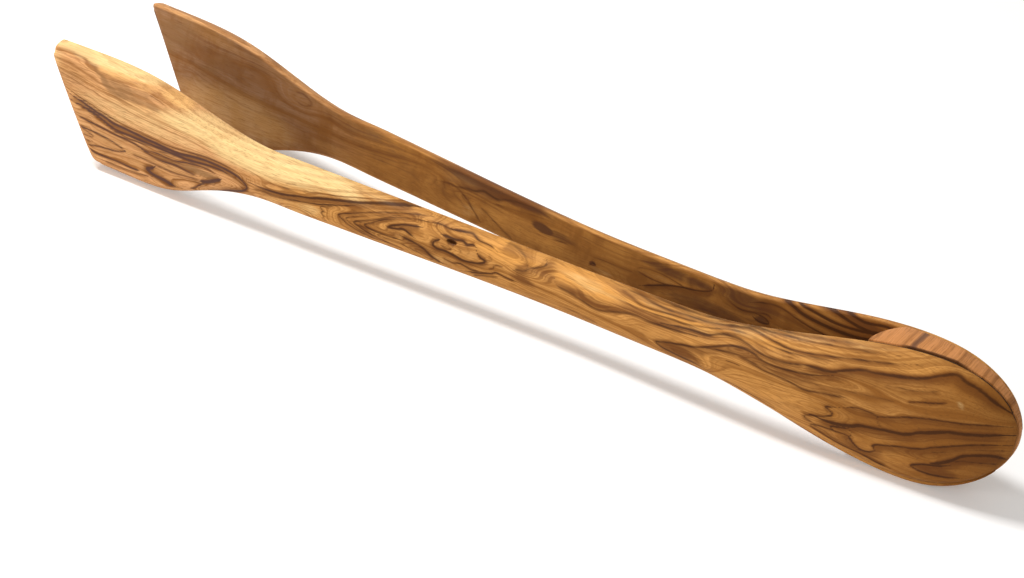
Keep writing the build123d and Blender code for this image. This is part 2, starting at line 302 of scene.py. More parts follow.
# Grain lines, each as half its width in millimetres, its darkness, the width of the brown band on its left
# (below 0: on its right), and its points as (station, height). The front arm's are on its outer face.
FRONT_LINES = [
    # Blade: the long streak that turns back at the neck, and its companion
    (0.48, 1.0, 1.5, [(291.5, 21.4), (288, 20.2), (284, 19.3), (280, 18.2), (276, 17.3), (272.5, 16.4),
        (268, 16.2), (262, 15.8), (255, 15.4), (250, 15.2), (246, 15.8), (241, 16.3), (236, 16.2),
        (231, 15.6), (228, 14.4), (226.3, 12.8), (228, 11), (232, 9.2), (236, 7.7), (240, 6.2)]),
    (0.46, 0.95, 0, [(289, 18.8), (283, 17.9), (279, 17.0), (275.5, 15.8), (272, 14.8), (267, 14.6),
        (258, 14.5), (250, 14.3), (245, 14.5), (240, 15.1), (235, 15.2), (230.5, 14.2)]),
    (0.28, 0.7, 0, [(292, 22.4), (287, 20.9), (281, 19.5), (275, 18.2), (270, 17.3), (262, 16.9),
        (254, 16.4), (247, 16.8), (240, 17.4), (232, 16.9), (226, 15.6)]),
    (0.26, 0.6, 0, [(287, 18.0), (281, 16.9), (276, 15.2), (271, 13.9), (264, 13.7), (256, 13.5),
        (249, 13.2)]),
    # Blade: lines under the streak
    (0.32, 0.85, 0.6, [(288, 15.0), (283, 14.3), (278, 13.8), (272, 13.2), (266, 12.9), (262, 12.2),
        (257, 12.5), (251, 12.4), (247, 13.3), (243, 13.8), (239.5, 13.9), (236.5, 13.2), (234.7, 12.6)]),
    (0.4, 0.8, -1.2, [(264, 12.4), (259, 11.2), (255, 10.8), (250, 11.1), (246, 10.6), (242, 10.3)]),
    (0.75, 0.95, 0, [(234.9, 12.4), (236.8, 11.2), (239.5, 9.8), (242, 9.1)]),
    (0.3, 0.75, 0, [(286, 11.7), (280, 11.4), (275, 11.0), (271.5, 10.3), (269, 9.6), (267.4, 9.2)]),
    (0.3, 0.75, 0, [(282, 6.4), (278, 7.2), (274, 7.7), (271, 8.1), (268.7, 8.8), (267.4, 9.2)]),
    (0.3, 0.7, 0, [(267.4, 9.2), (262, 9.1), (257, 8.8), (251, 8.5), (246, 9.0), (240, 9.6)]),
    (0.28, 0.6, 0, [(285, 11.5), (281.5, 10.6), (279.6, 9.8), (281, 9.3), (284, 9.5)]),
    (0.28, 0.55, 0, [(284, 8.2), (281.5, 8.0), (279, 8.1)]),
    (0.4, 0.85, 0, [(281.5, 5.8), (278.5, 4.9), (274, 4.8), (270, 4.9), (265, 4.6), (261.5, 4.8)]),
    (0.65, 0.9, 1.6, [(257.2, 8.4), (258.4, 7.3), (260, 6.4), (258, 5.4), (254, 5.0), (250, 4.2)]),
    (0.35, 0.65, 0, [(276, 3.4), (270, 3.3), (263, 3.6), (258, 4.5)]),
    (0.4, 0.6, 0, [(239.6, 9.4), (242, 7.8), (243.4, 6.4), (246, 4.6)]),
    (0.35, 0.5, 0, [(252, 6.0), (249, 7.2), (245.5, 8.1), (241, 8.6)]),
    (0.3, 0.35, 0, [(290, 27.8), (285, 26.9), (279, 26.0), (272, 24.7), (265, 24.3)]),
    (0.3, 0.3, 0, [(291, 24.5), (286, 23.0), (279, 21.3), (270, 19.5), (260, 18.4), (248, 18.0),
        (236, 18.4)]),
    (0.5, 0.4, 1.2, [(297.4, 31.3), (292.2, 32.2), (287, 32.1), (282.2, 31.4), (279.5, 30.4)]),
    (0.45, 0.5, 0, [(262, 29.7), (259.9, 29.2), (258, 28.6), (256.1, 27.9)]),
    (0.3, 0.3, 0, [(296, 29.6), (289, 29.2), (283, 28.0), (277, 25.6)]),
    (0.3, 0.28, 0, [(294, 26.4), (287, 25.0), (280, 23.6), (270, 22.2), (258, 21.2), (246, 21.0)]),
    # Neck: the line that rises to the upper edge, and fine ones along it
    (0.5, 0.9, 1.8, [(226, 14.8), (222, 14.6), (218, 14.7), (214, 15.3), (210, 16.3), (206, 17.2),
        (203, 18.2), (200, 19.0), (196, 20.0), (192, 20.9), (189, 21.7), (186, 22.5), (183, 23.2),
        (178, 24.0), (173, 24.5)]),
    (0.38, 0.68, 0, [(226.5, 12.8), (222, 13.5), (217, 13.6), (212, 14.4), (207, 15.4), (203, 16.3),
        (200, 17.3), (196, 18.5), (193, 19.6), (190.5, 20.7)]),
    (0.34, 0.5, 0, [(222, 16.9), (214, 17.5), (208, 18.6), (202, 19.9), (196, 21.2), (190, 22.6),
        (185, 23.6)]),
    (0.3, 0.42, 0, [(216, 18.5), (208, 19.9), (203, 20.9), (198, 21.9), (193, 23.0)]),
    (0.3, 0.4, 0, [(216, 11.6), (212, 12.9), (208, 12.9), (204, 12.2)]),
    # Nested rings that point to the tip
    (0.32, 0.55, -0.9, [(198, 17.4), (201, 16.5), (202.3, 15.6), (201, 14.8), (202, 13.9),
        (200.8, 13.2), (201.4, 12.2), (199, 11.2)]),
    (0.34, 0.6, -0.9, [(169, 23.8), (173, 23.3), (178, 22.4), (182, 21.3), (186, 20.0), (190, 18.4),
        (193.5, 16.9), (196.2, 15.6), (194.6, 14.3), (192, 13.2), (187, 12.2), (180, 11.5)]),
    (0.36, 0.62, -0.9, [(168, 22.7), (174, 22.1), (178, 21.2), (181.5, 20.0), (185, 18.1),
        (188.5, 16.5), (191.3, 15.0), (189.5, 14.2), (187, 13.4), (183, 12.7), (176, 12.1)]),
    (0.38, 0.66, -0.9, [(178, 20.6), (181.3, 19.6), (183.5, 18.4), (185.5, 17.0), (187.9, 15.4),
        (184.5, 14.6), (180, 14.7), (176, 15.0)]),
    (0.4, 0.9, -1.5, [(170.5, 21.0), (172.5, 20.6), (175.5, 20.0), (178.5, 18.8), (180.7, 17.4),
        (177.5, 18.0), (175.8, 18.5), (174, 17.8), (171.6, 16.9)]),
    (0.55, 0.72, 2.2, [(177, 16.4), (171.5, 15.6), (168.5, 14.6), (166.5, 13.3), (163, 12.2)]),
    (0.35, 0.5, 0, [(182, 13.8), (176, 13.7), (171, 13.0), (166, 11.9)]),
    (0.28, 0.5, 0, [(170, 23.3), (176, 22.3), (181, 20.8), (186, 19.0), (190.5, 17.0), (193.8, 15.3),
        (191.5, 13.9), (187, 12.7), (180, 11.9)]),
    (0.28, 0.5, 0, [(172, 21.7), (178, 20.9), (182.5, 19.2), (186, 17.4), (189.6, 15.3), (186.5, 14.1),
        (181, 13.6), (175, 13.3)]),
    (0.26, 0.45, 0, [(176, 20.3), (180, 19.4), (183, 17.8), (185, 16.3), (182, 15.9), (178, 15.9)]),
    # Knot, with its ring and curls
    (0.42, 0.95, 1.2, [(164.9, 21.0), (164.7, 19.6), (166.2, 18.4), (166.6, 17.3), (165.2, 16.5),
        (162.5, 16.7), (159.5, 16.3), (157, 15.9), (153.5, 16.4), (151.2, 17.2), (150.3, 18.2),
        (151.8, 18.5), (153.2, 19.6), (153.9, 20.8)]),
    # The widest, darkest short stroke fills the knot hole with painted shade
    (0.8, 1.0, 0, [(162.7, 19.95), (161.2, 19.9), (159.8, 19.85)]),
    (0.4, 0.9, 0, [(164.9, 21.0), (162.2, 20.9), (160, 21.0), (158, 21.3), (156.6, 20.7), (155.2, 21.3),
        (153.6, 20.9)]),
    (0.25, 0.6, 0, [(164.2, 17.9), (162.4, 17.5), (160.6, 17.9)]),
    (0.22, 0.5, 0, [(156.6, 19.9), (155.3, 18.9), (156.4, 18.0)]),
    (0.22, 0.5, 0, [(159.2, 18.9), (157.9, 18.5), (158.4, 17.9)]),
    (0.3, 0.7, 0, [(170, 22.7), (166, 23.0), (163, 22.8), (159.5, 23.2), (156.5, 23.4), (153.8, 22.6),
        (150, 22.4), (147.5, 21.6)]),
    (0.35, 0.6, 0, [(164, 14.6), (160, 13.9), (157.5, 14.6), (154, 13.9), (151, 14.6)]),
    (0.32, 0.8, 0, [(156, 12.6), (152, 13.7), (149.5, 14.7), (147.8, 15.2), (146.8, 16.0),
        (145.3, 15.9), (143, 15.6), (139.5, 15.7)]),
    (0.28, 0.65, 0, [(154, 12.0), (150.5, 13.4), (147.5, 14.3), (145.5, 15.0)]),
    (0.28, 0.6, 0, [(149.4, 16.0), (147.6, 17.0), (147.2, 18.2), (144.5, 18.5)]),
    (0.3, 0.55, 0, [(150, 20.2), (148.6, 19.3), (149.6, 18.2)]),
    # Arcs behind the knot
    (0.5, 0.7, 2.6, [(142, 18.5), (140.5, 19.3), (138.5, 19.6), (137.6, 20.6), (135.5, 21.6),
        (133.4, 22.8), (134.4, 23.9)]),
    (0.45, 0.6, 2.0, [(147.5, 23.9), (142.5, 23.6), (139.6, 22.7), (138.3, 21.3), (138.2, 19.8)]),
    (0.5, 0.42, 1.5, [(145, 14.2), (139, 13.2), (132, 13.7), (126, 13.9), (120, 13.4), (113, 12.6)]),
    # Waist: the soft brown band under the amber patch, and lines along the upper edge
    (0.6, 0.62, -2.6, [(129.8, 21.0), (128.6, 19.4), (125, 18.8), (121, 18.2), (117, 17.2),
        (114.5, 17.3), (111, 18.4), (107, 19.7), (104, 20.1), (100, 19.9), (96, 20.3), (90, 20.9),
        (86, 21.4)]),
    (0.32, 0.58, 0, [(113, 24.3), (108.6, 23.9), (104.2, 23.0), (99.7, 23.2), (95.7, 23.6),
        (90.7, 24.0), (86, 24.6)]),
    (0.5, 0.7, 1.6, [(97, 20.9), (92, 21.7), (88.2, 22.3), (83.5, 22.8), (81, 23.9), (78.5, 24.7),
        (75.5, 25.0), (72, 24.7), (70, 24.2), (67, 23.7), (64, 23.8), (60, 24.3), (56, 25.4), (53, 25.8)]),
    (0.55, 0.82, 2.6, [(60, 24.3), (56, 25.4), (53, 25.8), (49, 26.2), (46.5, 27.4), (44, 28.5),
        (41, 29.6), (38, 29.9), (33, 31.0), (29, 31.9), (25.5, 33.0), (23, 34.3), (20.5, 35.4),
        (18.5, 35.8), (16, 34.9), (12, 33.7), (8.5, 31.9), (5, 30.2), (2, 28.6)]),
    (0.36, 0.64, 0.7, [(115.6, 24.6), (110.6, 24.5), (105.7, 24.5), (101.7, 24.3), (97.7, 24.2),
        (93.2, 24.5), (88.7, 24.9), (82.8, 25.5), (77.8, 26.6), (73.3, 27.6), (69.8, 27.8),
        (65.4, 27.7), (59.9, 27.8), (52, 29.4), (46, 30.9), (40, 32.3), (36, 33.2), (32, 34.3),
        (27, 35.7)]),
    (0.32, 0.62, 0.7, [(108.6, 25.1), (102, 25.1), (96.7, 25.2), (90.7, 25.4), (85.3, 25.9),
        (78.8, 27.0), (74.3, 27.9), (68.8, 28.7), (61.9, 30.0), (58, 30.6), (51, 32.2), (45, 33.4),
        (39, 34.5), (33, 35.8)]),
    (0.34, 0.6, 0.8, [(100, 25.7), (88, 26.0), (78, 27.7), (69, 29.3), (60, 31.0), (50, 33.4),
        (42, 35.0)]),
    (0.34, 0.58, 0.7, [(112, 22.9), (106, 22.0), (101, 22.2), (95, 22.7), (90, 23.1), (84, 24.3),
        (78, 25.9), (72, 26.7), (66, 26.6), (60, 27.0), (52, 28.5), (45, 30.0)]),
    (0.28, 0.5, 0, [(93, 22.8), (88, 23.2), (83, 23.6), (78, 25.2), (73, 25.9), (68, 25.6), (62, 25.6),
        (56, 26.6)]),
    # Flame whose tip points to the blade, and the dark band behind it
    (0.5, 0.72, 3.0, [(80, 12.2), (85, 13.1), (90, 13.5), (94.5, 13.9), (97, 15.0), (94.5, 16.0),
        (91, 17.0), (87.5, 17.9), (85, 18.6), (82.5, 19.8), (80, 21.0), (77.5, 22.2), (75, 23.0),
        (72.5, 23.4), (70, 23.2), (67.8, 22.4), (64, 21.9), (59, 22.5), (54, 23.4), (50.5, 24.5),
        (47.5, 25.7)]),
    (0.5, 0.62, -3.0, [(84, 19.0), (78, 20.5), (74, 21.0), (70, 20.6), (66, 19.7), (62, 19.7),
        (58, 19.3), (54, 18.7), (50.5, 19.5), (46, 20.2), (41, 21.2)]),
    (0.4, 0.5, 1.0, [(70, 22.0), (66, 20.9), (61, 20.7), (56, 20.9), (51, 21.6), (46, 22.3), (40, 23.2),
        (34, 24.0), (28, 25.0)]),
    (0.22, 0.6, 0, [(77, 18.1), (74.5, 18.35), (72.2, 18.25)]),
    (0.35, 0.45, 0, [(78, 11.9), (72, 11.0), (66, 10.2), (60, 8.8)]),
    # Heel
    (0.3, 0.75, 0, [(28.5, 25.3), (25.5, 26.5), (22.5, 27.3), (19.5, 28.3), (18, 29.2)]),
    (0.35, 0.5, 1.5, [(36, 28.0), (30, 28.6), (25, 29.6), (20, 31.4)]),
    (0.4, 0.72, 2.0, [(45, 17.0), (43, 17.8), (41, 18.7), (39, 19.1), (36, 19.0), (34, 18.8),
        (32.5, 19.2), (30.5, 19.9), (28, 21.0), (25, 22.0), (22, 22.8), (18, 23.6), (14, 24.2),
        (10, 25.0), (6, 25.7), (2, 26.0)]),
    (0.4, 0.66, 1.0, [(44.5, 17.2), (47.8, 16.1), (46, 15.2), (45.9, 14.2), (48, 13.0), (50.5, 12.3),
        (52.8, 11.2), (52.6, 10.5), (51.3, 10.1), (49.5, 9.8)]),
    (0.32, 0.62, 0, [(34.3, 18.8), (34.1, 17.6), (33.2, 16.4), (31.5, 15.8)]),
    (0.6, 1.0, 2.4, [(51.5, 12.2), (47, 12.0), (43.5, 12.4), (41.2, 12.9), (39.5, 13.5), (38.4, 14.2),
        (36.5, 14.6), (34, 15.0), (31, 15.6), (28, 16.0), (25.5, 16.8), (23, 18.3), (20.5, 19.2),
        (18, 20.3), (16, 21.0), (12, 21.6), (8, 22.4), (4, 23.4), (1, 23.7)]),
    (0.42, 0.78, 3.0, [(41.4, 12.6), (40, 11.6), (39.6, 10.6), (40.2, 9.8), (39.4, 8.7), (38, 7.4),
        (36, 6.7), (33.9, 7.4), (32.9, 8.4), (33.7, 9.6), (32.5, 10.5), (30, 11.3), (27, 12.3),
        (24, 13.0), (20.8, 14.1), (19.5, 15.0), (16.5, 16.3), (13, 17.8), (10, 18.9), (6, 20.0),
        (1, 20.7)]),
    (0.4, 0.75, 0, [(44.6, 10.2), (45.5, 10.9), (43.5, 11.5), (41.0, 12.0)]),
    (0.36, 0.7, 0, [(50.9, 8.9), (48.5, 9.6), (45, 9.8), (41.5, 10.0), (40, 9.8)]),
    (0.36, 0.75, -1.6, [(50, 9.7), (51.1, 8.8), (50, 8.0), (47, 7.1), (43.5, 6.2), (40, 5.6),
        (36.5, 5.3), (33, 4.5), (28, 3.7)]),
    (0.3, 0.6, 0, [(38.4, 6.0), (36.8, 6.4), (35, 6.9)]),
    (0.35, 0.55, 1.5, [(21, 13.2), (17, 14.4), (13.5, 15.9), (9, 17.6), (4, 18.7), (1, 19.0)]),
    (0.45, 0.85, -2.6, [(13.4, 11.5), (15.8, 10.4), (18.5, 9.8), (21.2, 8.9), (23, 7.7), (21.5, 6.9),
        (18, 6.6), (14, 7.0), (10, 7.8)]),
    (0.6, 1.0, 3.0, [(18.6, 10.4), (15.8, 11.5), (13.4, 13.2), (11.5, 15.0), (8.5, 16.1), (5, 16.8),
        (2.6, 16.6), (1, 15.8)]),
    (0.4, 0.7, 1.5, [(13.5, 12.4), (11, 13.6), (7.5, 14.0), (4.5, 14.4), (2.4, 14.2)]),
]

# The rear arm's grain lines are on its inner face
REAR_LINES = [
    (0.5, 0.55, 0, [(187, 17.4), (181, 18.0), (177, 16.2), (173.5, 13.4), (170, 10.4)]),
    (0.45, 0.5, 0, [(172, 15.8), (168, 14.0), (163, 11.8), (158, 9.9)]),
    (0.7, 0.6, -2.6, [(182, 17.6), (178, 18.7), (174, 19.3), (171, 20.6), (166, 20.2), (161, 21.8),
        (153, 22.8)]),
    (0.3, 0.45, 0, [(168, 18.2), (160, 19.3), (152, 20.6), (144, 21.0)]),
    (0.35, 0.4, 0, [(162, 16.0), (154, 15.4), (146, 15.9), (139, 17.2)]),
    (0.3, 0.5, 0, [(133, 15.9), (128, 16.5), (122, 16.5), (118.5, 17.3)]),
    (0.28, 0.6, 0, [(118.8, 18.2), (116, 19.6), (111, 20.1), (106, 19.6), (102, 18.9)]),
    (0.28, 0.6, 0, [(118.8, 18.1), (114, 17.4), (109, 17.5), (104.5, 18.6), (101.5, 19.2)]),
    (0.35, 0.85, 1.8, [(116.5, 13.8), (111, 16.2), (106.5, 18.0), (102.5, 19.0), (98, 20.0),
        (94.7, 21.6), (94.4, 23.6)]),
    (0.35, 0.8, 0, [(132.8, 13.2), (131.8, 14.4), (130.6, 14.0)]),
    (0.4, 0.6, 0, [(92, 22.0), (88, 20.4), (85, 19.8), (81, 20.6), (77.5, 21.6), (75, 20.2)]),
    (0.4, 0.75, 0, [(81.5, 19.3), (79, 18.5), (76.4, 19.2), (78, 20.4), (80.5, 20.4)]),
    (0.6, 1.0, -1.6, [(77, 29.0), (72, 27.7), (67, 26.2), (61, 25.8), (54, 26.2), (48, 27.4), (41, 29.4)]),
    (0.5, 0.9, 0, [(71, 28.9), (65, 28.4), (58, 27.9), (51, 28.8), (44, 30.6)]),
    (0.6, 0.95, -1.6, [(66, 31.0), (60, 31.2), (54, 30.2), (48, 29.9), (42, 31.8)]),
    (0.5, 0.9, 0, [(62, 32.0), (56, 32.6), (50, 31.9), (44, 33.4), (38, 34.2)]),
    (0.5, 0.7, 2.4, [(84, 22.5), (79, 24.6), (74, 25.3), (68, 24.0), (61, 23.2), (54, 23.6), (46, 25.0),
        (36, 27.6)]),
    (0.45, 0.6, 0, [(80, 16.4), (72, 17.6), (64, 16.2), (56, 16.6), (46, 18.2), (34, 20.4), (20, 22.0)]),
    (0.45, 0.6, 0, [(70, 12.4), (60, 11.6), (50, 12.4), (38, 14.8), (24, 16.8), (12, 17.4)]),
    (0.4, 0.5, 0, [(243, 23.8), (239, 24.4), (235.5, 22.6), (238, 20.9), (242, 21.6)]),
    (0.35, 0.35, 0, [(252, 24.6), (246, 19.8), (238, 18.6), (230, 20.2), (222, 19.2)]),
    (0.5, 0.35, 0, [(299, 26.4), (292, 23.6), (286, 22.8), (278, 20.6), (268, 20.8), (258, 18.4)]),
    (0.4, 0.3, 0, [(290, 14.0), (280, 15.6), (270, 13.4), (258, 12.2), (244, 13.4), (230, 13.0),
        (214, 14.4)]),
]

# Tones, each as a patch's station, height, half length, half height, tilt in degrees and strength
FRONT_TONES = {
    "pale": [
        # Pale patches are pale wood. The long strip along the blade's upper edge (the first one), the strip
        # down the blade's end (at station 297) and the last four, along the heel's upper edge, are also
        # painted highlight where the rounded edges catch the light. The heel's upper edge is partly a worn
        # edge as well.
        (274, 34.2, 40, 2.2, 0, 1.0), (282.3, 32.7, 4, 1.2, 0, 0.85), (265.7, 32.6, 3, 1.0, 0, 0.7),
        (258, 21.5, 36, 5.0, -2, 0.45), (222, 22.5, 22, 4.5, 0, 1.0), (203, 23.4, 15, 2.6, 6, 0.8),
        (190, 24.0, 10, 1.2, 4, 0.4), (246, 25.0, 14, 4.0, 0, 0.75), (297, 29, 5, 6, 0, 0.4),
        (262, 10.8, 26, 5.5, -3, 0.2), (163, 13.6, 4, 1.2, 0, 0.3), (15.2, 29.0, 1.5, 0.8, 40, 0.46),
        (155.5, 18.6, 4, 1.6, 0, 0.22), (206, 13.6, 5, 2.0, 0, 0.45), (214, 12.0, 9, 3.0, -4, 0.3),
        (121, 22.5, 8, 1.4, 2, 0.42), (84, 23.6, 7, 0.7, -6, 0.34), (72.5, 26.5, 6, 0.7, -6, 0.36),
        (112, 22.2, 5, 0.9, 0, 0.3), (100, 23.7, 6, 0.5, 2, 0.3), (86, 25.4, 9, 0.9, -5, 0.34),
        (72, 28.0, 9, 1.2, -13, 0.36), (58, 31.3, 9, 1.3, -13, 0.34), (44, 34.6, 9, 1.2, -11, 0.28),
    ],
    "amber": [
        (120, 22.2, 11, 2.6, 2, 1.0), (262, 8.0, 26, 6.5, 0, 0.15), (237, 24.0, 6, 2.0, 0, 0.5),
        (254, 30.2, 6, 1.2, 12, 0.95), (274, 31.8, 8, 1.5, 0, 0.8), (264, 31.2, 5, 1.6, 0, 0.6),
        (146, 21.8, 11, 3.0, 0, 0.75), (172, 21.0, 12, 3.0, 0, 0.3), (90, 23.9, 20, 1.8, -4, 0.95),
        (66, 15.0, 26, 5.0, 0, 0.35), (30, 9.5, 10, 4.0, 0, 0.4), (130, 23.0, 8, 1.4, 0, 0.5),
        (30, 33.6, 12, 1.3, -15, 0.4), (82, 17.0, 9, 2.0, 20, 0.4), (70, 26.6, 10, 1.6, -6, 0.8),
    ],
    "tan": [
        # The first two tan patches darken the whole heel: partly its own darker wood, partly painted shade
        # where the light falls off towards the heel
        (10, 18, 26, 24.0, 0, 1.3), (36, 18, 20, 20.0, 0, 0.95), (62, 18, 20, 14.0, 0, 0.3),
        (92, 15, 16, 5.0, 0, 0.4), (158, 17, 22, 9.0, 0, 0.5), (188, 15, 14, 6.0, 0, 0.2),
        (135, 16, 10, 6.0, 0, 0.5), (288, 29, 12, 3.0, 0, 0.45), (264, 9.0, 28, 7.0, 0, 0.5),
        (112, 16, 22, 9.0, 0, 0.5), (150, 20, 16, 8.0, 0, 0.3),
    ],
    "brown": [
        (138.5, 16.8, 4.2, 1.3, 6, 0.9), (99, 21.2, 12, 1.1, 0, 0.6), (118, 19.2, 11, 1.3, 5, 0.6),
        (131.5, 20.8, 2.2, 3.0, 0, 0.5), (90, 15.3, 6.5, 1.5, 4, 0.85), (62, 21.2, 15, 1.9, -3, 0.55),
        (9.5, 14.3, 7.5, 1.5, -20, 1.1), (17, 8.6, 5.5, 1.5, -8, 0.8), (49, 24.6, 6.0, 1.6, -16, 0.6),
        (10, 21.6, 11, 1.9, -10, 0.5), (188, 15.8, 10, 3.0, 0, 0.1), (169, 14.6, 6.0, 1.8, 0, 0.6),
        (161, 21.6, 8, 1.1, 0, 0.4), (139.5, 19.6, 3.0, 1.3, 0, 0.6), (256, 11.3, 8, 0.9, 0, 0.6),
        (258.5, 6.4, 3.0, 1.6, 0, 0.55), (262, 15.2, 22, 0.9, 1, 0.5), (156, 13.6, 5, 1.6, 0, 0.5),
        (161, 18.5, 5, 1.6, 0, 0.3), (180, 18.5, 8, 1.6, 25, 0.25),
    ],
    "smoke": [
        (280, 30.2, 2.4, 1.0, 32, 0.7), (277.4, 28.3, 2.8, 1.3, 42, 0.95),
        (275, 26.8, 3.0, 1.4, 20, 0.95), (271, 26.0, 4.5, 1.2, 0, 0.9), (266, 26.3, 5.0, 1.2, -4, 0.8),
        (260.5, 26.3, 4.0, 1.0, 4, 0.75), (271, 28.4, 6.0, 1.9, 6, 0.72),
        (264.5, 28.7, 5.0, 1.5, 0, 0.6), (243, 12.0, 8.0, 1.3, 0, 0.85), (255, 11.4, 7.0, 0.7, 0, 0.5),
        (290, 25.5, 8.0, 3.0, 8, 0.5), (278, 22.0, 16, 2.6, 4, 0.36), (60, 11.5, 8.0, 2.0, 0, 0.35),
        (175, 16.4, 5.0, 1.4, 0, 0.4), (240, 7.0, 6.0, 1.6, -10, 0.25),
    ],
}
REAR_TONES = {
    "pale": [
        (110, 18.6, 7, 0.9, 0, 0.22), (174, 12.8, 6, 2.0, -20, 0.26), (129, 13.0, 4, 1.0, 0, 0.25),
    ],
    "amber": [
        (155, 15.0, 16, 3.5, 0, 0.8), (176, 12.5, 8, 3.0, -15, 0.6), (66, 28.5, 14, 2.2, 5, 0.5),
        (120, 21.0, 18, 3.0, 0, 0.45), (225, 11.0, 12, 2.2, 0, 0.45), (262, 9.0, 24, 7.0, 0, 0.85),
        (200, 14.0, 12, 3.0, 0, 0.3), (278, 30.5, 16, 2.5, 6, 0.4),
    ],
    "tan": [
        (240, 19, 60, 20.0, 0, 0.6), (60, 20, 50, 20.0, 0, 0.8), (110, 18, 20, 8.0, 0, 0.4),
        (165, 21, 22, 5.0, 0, 0.7),
    ],
    "brown": [
        (120, 22, 20, 3.0, 0, 0.35), (172, 17, 14, 4.0, 0, 0.3), (88, 19, 16, 4.0, 0, 0.4),
        (270, 24.0, 26, 8.0, -10, 0.35), (212, 19.0, 22, 6.0, 8, 0.42), (168, 23.0, 21, 2.3, 0, 1.3),
        (149.5, 17.9, 3.8, 1.4, 4, 1.4), (144, 17.7, 7.0, 1.7, 0, 0.55), (84, 23.0, 12, 3.0, 0, 0.7),
        (78.6, 19.4, 2.2, 1.0, 0, 1.0), (131.8, 14.2, 1.1, 0.7, 0, 1.4), (50, 31.5, 9, 1.5, 6, 0.6),
        (58, 26.4, 12, 1.0, 0, 0.6), (105, 21.8, 14, 1.6, 0, 0.8), (96, 16.0, 16, 3.0, 0, 0.6),
        (186, 16.0, 8, 2.0, 30, 0.35),
    ],
    "smoke": [
        (290, 25.0, 12, 6.0, -20, 0.75), (272, 22.0, 8, 3.0, -40, 0.5), (293, 15.0, 8, 4.0, 0, 0.45),
        (176, 20.4, 12, 2.0, 0, 0.6), (210, 21.0, 14, 3.0, 0, 0.4), (252, 27.0, 9, 2.0, 12, 0.3),
        (240, 15.0, 10, 2.5, -10, 0.3),
    ],
}

# How a figure lies on its face: a slide along and a rise, each at the heel's end and per station
FRONT_FIGURE_SHIFT = ((-0.2, 0.0047), (-0.8, 0.0052))
REAR_FIGURE_SHIFT = ((-0.2, 0.0), (-0.75, 0.0083))

# Knot hole on the front arm's outer face
KNOT_AT = (161.8, 19.95)
KNOT_HALF_SIZE = (1.5, 0.62)
KNOT_DEPTH = 1.3
KNOT_SPREAD = 1.25

# How far a grain line slides along and up as it runs through an arm's thickness
GRAIN_SLIDE = 2.4
GRAIN_CLIMB = 0.35

# Flow of the growth layers between the grain lines
FLOW_STRETCH = 3.5
FLOW_REACH = 5.0
FLOW_STEP = 3.0
FLOW_SLACK = 0.02
FLOW_PARTS = 16
LAYER_FROM = 16.0
LAYER_TO = 285.0
LAYER_SPAN = 17.0

# Grain lines on the skin
LINE_STEP = 0.9
LINE_REACH = 6.0
END_TAPER = 9.0
END_WIDTH = 0.4
SMALLEST_STEP = 1e-9
HALO_WIDTH = 1.7
PLAIN_SOFTNESS = 0.9

# Patches of tone: plain to their core, then falling away
PATCH_CORE = 1.35
PATCH_FALL = 0.9


def add_object(name, data):
    """Puts a new object with its data into the scene."""
    made = bpy.data.objects.new(name, data)
    bpy.context.scene.collection.objects.link(made)
    return made


def fill_mesh(mesh, shell):
    """Writes a shell into a mesh, with its faces turned outwards and shaded smoothly."""
    bmesh.ops.recalc_face_normals(shell, faces=shell.faces)
    shell.to_mesh(mesh)
    shell.free()
    mesh.polygons.foreach_set("use_smooth", np.ones(len(mesh.polygons), bool))


def ray_hit(tree, start, way):
    """First point of a search tree on a ray, or None."""
    return tree.ray_cast(Vector(start), Vector(way))[0]


def arm_search_tree(*nodes):
    """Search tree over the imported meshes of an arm's nodes."""
    corners = []
    faces = []
    for name in nodes:
        mesh = frame["nodes"][name].data
        first = len(corners)
        corners += [vertex.co.copy() for vertex in mesh.vertices]
        faces += [[first + index for index in face.vertices] for face in mesh.polygons]
    return BVHTree.FromPolygons(corners, faces)


def smooth_step(share):
    """Share between 0 and 1, eased at both ends."""
    share = np.clip(share, 0.0, 1.0)
    return share * share * (3 - 2 * share)


def tip_face(tree, side, node):
    """Station of the blade's end at the pivot height, and its lean as station per height."""
    low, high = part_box(node)
    outer = abs(low.y) if side == FRONT else high.y
    depth = side * (outer - TIP_PROBE_DEPTH * MM)
    stations = []
    for height in (PIVOT_HEIGHT - TIP_PROBE_REACH, PIVOT_HEIGHT + TIP_PROBE_REACH):
        hit = ray_hit(tree, (low.x - FAR_OUT * MM, depth, height * MM), (1, 0, 0))
        stations.append((HEEL_END - hit.x) / MM)
    return sum(stations) / 2, (stations[1] - stations[0]) / (2 * TIP_PROBE_REACH)


def ring_stations(tip):
    """Stations of an arm's rings: close together on the heel's round end and at the blade's end."""
    turn = np.linspace(math.acos(1 - FIRST_RING / NOSE_LENGTH), math.pi / 2, NOSE_RINGS)
    nose = NOSE_LENGTH * (1 - np.cos(turn))
    count = math.ceil((tip - TIP_SPAN - NOSE_LENGTH) / RING_STEP)
    span = np.linspace(NOSE_LENGTH, tip - TIP_SPAN, count + 1)[1:-1]
    closing = TIP_SPAN * (1 - np.linspace(0, 1, TIP_RINGS)) ** 2
    return np.concatenate([nose, span, tip - TIP_INSET - closing * (1 - TIP_INSET / TIP_SPAN)])


def face_shares(figured):
    """Shares of an arm's width at which a face has its points: closer together at the edges."""
    columns = (PLAIN_COLUMNS - 1) * FINE_STEPS + 1 if figured else PLAIN_COLUMNS
    bias = FIGURED_BIAS if figured else PLAIN_BIAS
    turn = np.linspace(-1, 1, columns)
    return (bias * turn + (1 - bias) * np.sin(turn * math.pi / 2) + 1) / 2


